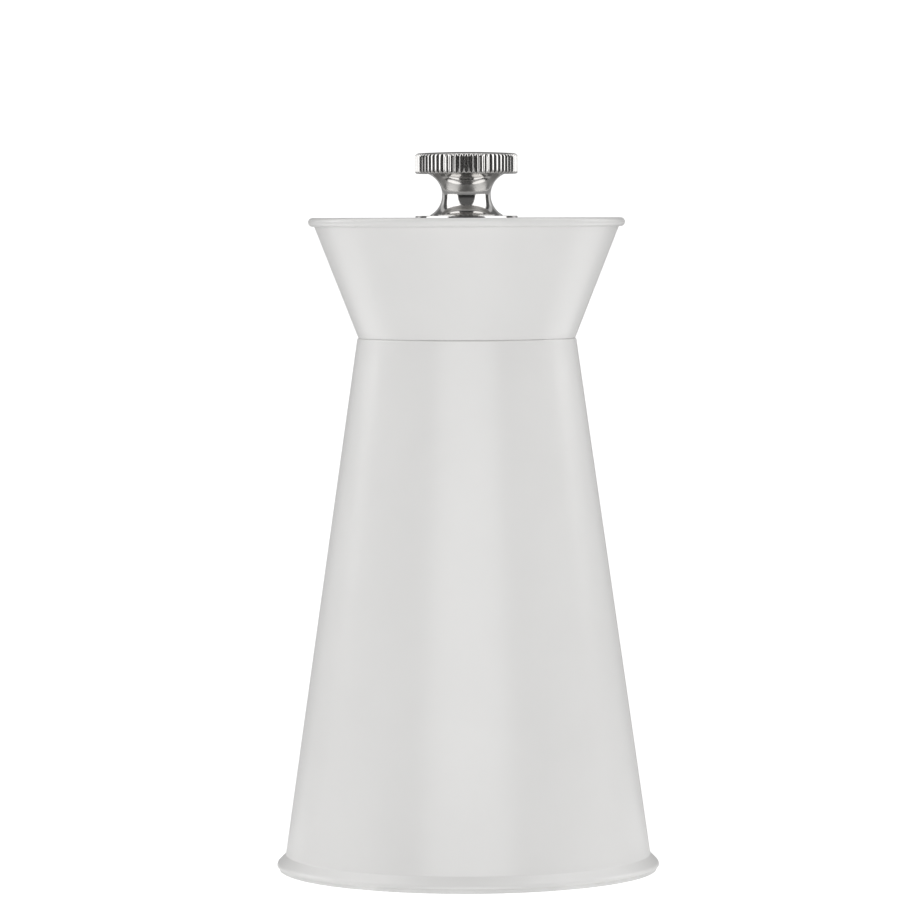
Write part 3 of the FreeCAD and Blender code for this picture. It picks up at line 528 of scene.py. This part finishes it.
def knob_washer():
    """Disc under the knob, with both edges broken."""
    low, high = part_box("knob_washer")
    bore = wall_radius("knob_washer", 0.5 * (low.z + high.z), outer=False)
    outline = rounded([(bore, low.z), (high.x, low.z), (high.x, high.z), (bore, high.z)], WASHER_EDGE)
    install(revolve("washer_turned", outline), "knob_washer")


def foot_ring():
    """Soft ring with a shallow groove in its tread and a thin lip out under the bead."""
    low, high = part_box("foot_ring")
    gauge_z = 0.5 * (low.z + high.z)
    inner = wall_radius("foot_ring", gauge_z, outer=False)
    outer = wall_radius("foot_ring", gauge_z)
    lip_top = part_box("body_shell")[0].z - LIP_CLEARANCE
    middle = 0.5 * (inner + high.x)
    outline = eased((inner, high.z), (inner, low.z), (middle, low.z), RING_TREAD_EDGE)
    outline += [(middle - TREAD_GROOVE_HALF, low.z), (middle, low.z + TREAD_GROOVE_DEPTH),
                (middle + TREAD_GROOVE_HALF, low.z)]
    outline += eased((middle, low.z), (high.x, low.z), (high.x, lip_top), RING_LIP_EDGE)
    outline += [(high.x, lip_top), (outer, lip_top), (outer, high.z), (inner, high.z)]
    install(revolve("foot_ring_soft", outline), "foot_ring")


def spindle():
    """Square bar with rounded corners, a clip groove, and a cut thread on its upper end."""
    low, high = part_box("spindle")
    half = high.x
    stem_r = wall_radius("spindle", low.z + 0.5 * MM)
    thread_r = wall_radius("spindle", high.z - 2 * MM)
    seat_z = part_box("rotor")[0].z + SPINDLE_SEAT
    square_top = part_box("drive_plate")[1].z + SPINDLE_SQUARE_ABOVE
    clip_low, clip_high = (place.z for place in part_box("spindle_clip"))

    def round_bar(radius):
        return lambda z, angle: radius

    def square_bar(limit=1.0):
        def radius(z, angle):
            turn = abs((angle + math.pi / 4) % (math.pi / 2) - math.pi / 4)
            straight = half - SPINDLE_CORNER
            if half * math.tan(turn) <= straight:
                return min(limit, half / math.cos(turn))
            across = straight * (math.cos(turn) - math.sin(turn))
            reach = straight * (math.cos(turn) + math.sin(turn))
            return min(limit, reach + math.sqrt(SPINDLE_CORNER ** 2 - across ** 2))
        return radius

    def threaded(z, angle):
        phase = ((z - square_top) / THREAD_PITCH - angle / (2 * math.pi)) % 1.0
        flank = min(1.0, max(0.0, THREAD_FLANK * abs(phase - 0.5) - THREAD_CREST))
        run_out = min(1.0, (z - square_top) / THREAD_PITCH)
        edge = max(0.0, z - high.z + SPINDLE_TIP)
        return min(thread_r - THREAD_DEPTH * flank * run_out, thread_r - edge)

    fall = half * math.sqrt(2) - thread_r
    stations = [(low.z, round_bar(stem_r - SPINDLE_STEM_CHAMFER)),
                (low.z + SPINDLE_STEM_CHAMFER, round_bar(stem_r))]
    stations += [(seat_z, round_bar(stem_r)), (seat_z, square_bar())]
    groove = round_bar(thread_r - CLIP_GROOVE_DEPTH)
    stations += [(clip_low, square_bar()), (clip_low, groove)]
    stations += [(clip_high, groove), (clip_high, square_bar())]
    stations += [(square_top - fall * (1 - i / 6), square_bar(thread_r + fall * (1 - i / 6)))
                 for i in range(7)]
    thread_length = high.z - square_top
    rings = math.ceil(thread_length / THREAD_PITCH * THREAD_RINGS)
    stations += [(square_top + thread_length * i / rings, threaded) for i in range(1, rings + 1)]
    install(lofted("spindle_cut", stations), "spindle")


body_shell()
cap_shell()
adjusting_knob()
knob_washer()
foot_ring()
spindle()

for node, packed in nodes.items():
    packed.data.materials.clear()
    packed.data.materials.append(MATERIALS[SLOTS[node]])


# ---- studio -------------------------------------------------------------------------------------
# Patches of sky or floor: azimuth either way from the front, elevation, level, softness of the edges.
# All in degrees but the level. Later patches lie over earlier ones.
SKY_LEVEL = 0.55
SKY_PATCHES = (
    ((-20, 42), (-90, 80), 0.12, (3.0, 8.0)),       # curtain facing the mill
    ((-20, 42), (-90, 14), 0.03, (3.0, 6.0)),       # its darker lower part
    ((42, 103), (-90, 62), 0.5, (3.0, 8.0)),        # pale walls behind the windows
    ((103, 128), (-90, 60), 0.08, (3.0, 8.0)),      # side curtains
    ((145, 200), (-90, 50), 0.15, (3.0, 8.0)),      # behind the mill
)
FLOOR_SIZE = 8.0
# Painted light: glow levels of the floor, which light the mill and show in its cap
FLOOR_PAINTED_GLOW = 0.45
FLOOR_PAINTED_GLOW_BEHIND = 0.12             # level of the floor behind the mill
FLOOR_PAINTED_GLOW_FAR = 0.04                # level of the floor beyond the lit disc
LIT_DISC = (0.42, 0.12)         # radius and softness of the lit disc of floor
CLEAR_DISC = (0.13, 0.05)       # radius and softness of the dimmer disc that the mill stands on
EVERY_HEIGHT = (-90, 90)
FLOOR_SOFT = (6.0, 1.0)

BACKGROUND_SEEN = 1.1           # brightness of sky and floor to the camera, which shows them white
FLOOR_SEEN = 0.9
BOX_DISTANCE = 2.5
BOX_AIM = (0, 0, 0.1)

# Soft boxes each side: name, azimuth, elevation, width and height in degrees, radiance, pieces lit
SIDE_BOXES = (
    ("window", 72.5, 21, 61, 76, 1.3, "bright"),
    ("rear_box", 152, 8, 44, 30, 0.2, "bright"),
    ("side_box", 113, 22, 24, 32, 2.7, "other"),
    ("high_box", 102, 55, 36, 26, 1.5, "other"),
)


def math_node(tree, operation, *values):
    """Math node on numbers or sockets."""
    node = tree.nodes.new("ShaderNodeMath")
    node.operation = operation
    for slot, value in enumerate(values):
        if isinstance(value, (int, float)):
            node.inputs[slot].default_value = value
        else:
            tree.links.new(value, node.inputs[slot])
    return node.outputs[0]


def step(tree, value, edge, softness):
    """0 below an edge and 1 above it, with a soft change."""
    node = tree.nodes.new("ShaderNodeMapRange")
    node.interpolation_type = "SMOOTHSTEP"
    node.inputs["From Min"].default_value = edge - softness
    node.inputs["From Max"].default_value = edge + softness
    tree.links.new(value, node.inputs["Value"])
    return node.outputs["Result"]


def panel(tree, level, azimuth, elevation, sides, heights, radiance, soft):
    """Change the light level inside a patch given by ranges of azimuth and elevation."""
    inside = math_node(tree, "SUBTRACT", step(tree, azimuth, sides[0], soft[0]),
                       step(tree, azimuth, sides[1], soft[0]))
    tall = math_node(tree, "SUBTRACT", step(tree, elevation, heights[0], soft[1]),
                     step(tree, elevation, heights[1], soft[1]))
    share = math_node(tree, "MULTIPLY", inside, tall)
    change = math_node(tree, "SUBTRACT", radiance, level)
    return math_node(tree, "MULTIPLY_ADD", change, share, level)


def compass(tree, split):
    """Azimuth either way from the front, and elevation, in degrees, of a direction."""
    ahead = math_node(tree, "MULTIPLY", split.outputs["Y"], -1.0)
    aside = math_node(tree, "ABSOLUTE", split.outputs["X"])
    return (math_node(tree, "DEGREES", math_node(tree, "ARCTAN2", aside, ahead)),
            math_node(tree, "DEGREES", math_node(tree, "ARCSINE", split.outputs["Z"])))


def sky(world):
    """Room round the mill: a dark curtain in front, pale walls each side, dark ones towards the back."""
    world.use_nodes = True
    tree = world.node_tree
    background = tree.nodes["Background"]
    place = tree.nodes.new("ShaderNodeTexCoord")
    split = tree.nodes.new("ShaderNodeSeparateXYZ")
    tree.links.new(place.outputs["Generated"], split.inputs["Vector"])
    azimuth, elevation = compass(tree, split)
    level = SKY_LEVEL
    for patch in SKY_PATCHES:
        level = panel(tree, level, azimuth, elevation, *patch)
    seen = tree.nodes.new("ShaderNodeLightPath")
    behind = math_node(tree, "SUBTRACT", BACKGROUND_SEEN, level)
    tree.links.new(math_node(tree, "MULTIPLY_ADD", behind, seen.outputs["Is Camera Ray"], level),
                   background.inputs["Strength"])
    background.inputs["Color"].default_value = (1, 1, 1, 1)


def floor():
    """Wide white floor with a painted glow round the mill, which lights the mill: brighter in front and
    each side, dimmer close to the mill, dim behind it and far off.
    """
    mesh = bpy.data.meshes.new("studio_floor")
    corners = ((-1, -1), (1, -1), (1, 1), (-1, 1))
    mesh.from_pydata([(x * FLOOR_SIZE, y * FLOOR_SIZE, -FLOOR_DROP) for x, y in corners], [],
                     [(0, 1, 2, 3)])
    piece = add_object("studio_floor", mesh)
    material, tree, shader = new_material("studio_floor", Roughness=0.9, Emission_Color=(1, 1, 1, 1))
    place = tree.nodes.new("ShaderNodeTexCoord")
    away = tree.nodes.new("ShaderNodeVectorMath")
    away.operation = "LENGTH"
    tree.links.new(place.outputs["Object"], away.inputs[0])
    near = math_node(tree, "SUBTRACT", 1.0, step(tree, away.outputs["Value"], *LIT_DISC))
    clear = step(tree, away.outputs["Value"], *CLEAR_DISC)
    split = tree.nodes.new("ShaderNodeSeparateXYZ")
    tree.links.new(place.outputs["Object"], split.inputs["Vector"])
    azimuth, elevation = compass(tree, split)
    front = math_node(tree, "MULTIPLY_ADD", clear, 0.75, 0.3)
    side = math_node(tree, "MULTIPLY_ADD", clear, 1.2, 0.3)
    lit = FLOOR_PAINTED_GLOW
    # Painted light: the floor glows brighter in front and each side, less close to the mill, and dim
    # behind it
    for sides, level in (((-20, 27), front), ((95, 135), side), ((140, 200), FLOOR_PAINTED_GLOW_BEHIND)):
        lit = panel(tree, lit, azimuth, elevation, sides, EVERY_HEIGHT, level, FLOOR_SOFT)
    glow = math_node(tree, "MULTIPLY_ADD", near, lit, FLOOR_PAINTED_GLOW_FAR)
    # The camera sees the floor evenly white; other rays get the painted glow
    seen = tree.nodes.new("ShaderNodeLightPath")
    brighter = math_node(tree, "SUBTRACT", FLOOR_SEEN, glow)
    shown = math_node(tree, "MULTIPLY_ADD", brighter, seen.outputs["Is Camera Ray"], glow)
    tree.links.new(shown, shader.inputs["Emission Strength"])
    shader.inputs["Specular IOR Level"].default_value = 0.1
    tree.links.new(ramp(tree, noise(tree, 3, 2), (0.78, 0.78, 0.78), (0.8, 0.8, 0.8)),
                   shader.inputs["Base Color"])
    mesh.materials.append(material)


def soft_box(name, azimuth, elevation, width, height, radiance, lit):
    """Soft box as seen from the cap: its middle and spread in degrees. It lights one group of pieces."""
    turn, lift = math.radians(azimuth), math.radians(elevation)
    towards = Vector((math.sin(turn) * math.cos(lift), -math.cos(turn) * math.cos(lift),
                      math.sin(lift)))
    data = bpy.data.lights.new(name, "AREA")
    data.shape = "RECTANGLE"
    data.size = 2 * BOX_DISTANCE * math.tan(math.radians(width / 2))
    data.size_y = 2 * BOX_DISTANCE * math.tan(math.radians(height / 2))
    data.energy = radiance * math.pi * data.size * data.size_y
    lamp = bpy.data.objects.new(name, data)
    lamp.location = Vector(BOX_AIM) + towards * BOX_DISTANCE
    lamp.rotation_euler = (-towards).to_track_quat("-Z", "Y").to_euler()
    lamp.light_linking.receiver_collection = lit
    bpy.context.scene.collection.objects.link(lamp)


def light_groups():
    """Collections of the bright steel pieces and of all the others."""
    groups = {name: bpy.data.collections.new(name + "_pieces") for name in ("bright", "other")}
    for piece in bpy.data.objects:
        if piece.type == "MESH":
            bright = piece.data.materials[0] in (MATERIALS["polished_steel"], MATERIALS["satin_steel"])
            groups["bright" if bright else "other"].objects.link(piece)
    return groups


def studio():
    """Sky, soft boxes and floor."""
    world = bpy.data.worlds.new("studio")
    bpy.context.scene.world = world
    sky(world)
    groups = light_groups()
    for side in (-1, 1):
        for name, azimuth, elevation, width, height, radiance, lit in SIDE_BOXES:
            soft_box(name, side * azimuth, elevation, width, height, radiance, groups[lit])
    soft_box("front_box", 0, 13, 58, 30, 2.45, groups["other"])
    floor()


def camera():
    """Long lens, level with the cap's rim, rolled a little as the photograph is."""
    distance = 0.975
    height = 0.1284
    roll = math.radians(-0.154)
    aim = Vector((-0.0012, 0, 0.0800))
    data = bpy.data.cameras.new("camera")
    data.sensor_width = 36
    data.lens = 195.2
    data.clip_end = 50
    eye = bpy.data.objects.new("camera", data)
    eye.location = (aim.x, -distance, height)
    look = (aim - eye.location).to_track_quat("-Z", "Y")
    eye.rotation_euler = (look @ Quaternion((0, 0, 1), roll)).to_euler()
    bpy.context.scene.collection.objects.link(eye)
    bpy.context.scene.camera = eye


studio()
camera()
bpy.context.scene.view_settings.view_transform = "Standard"
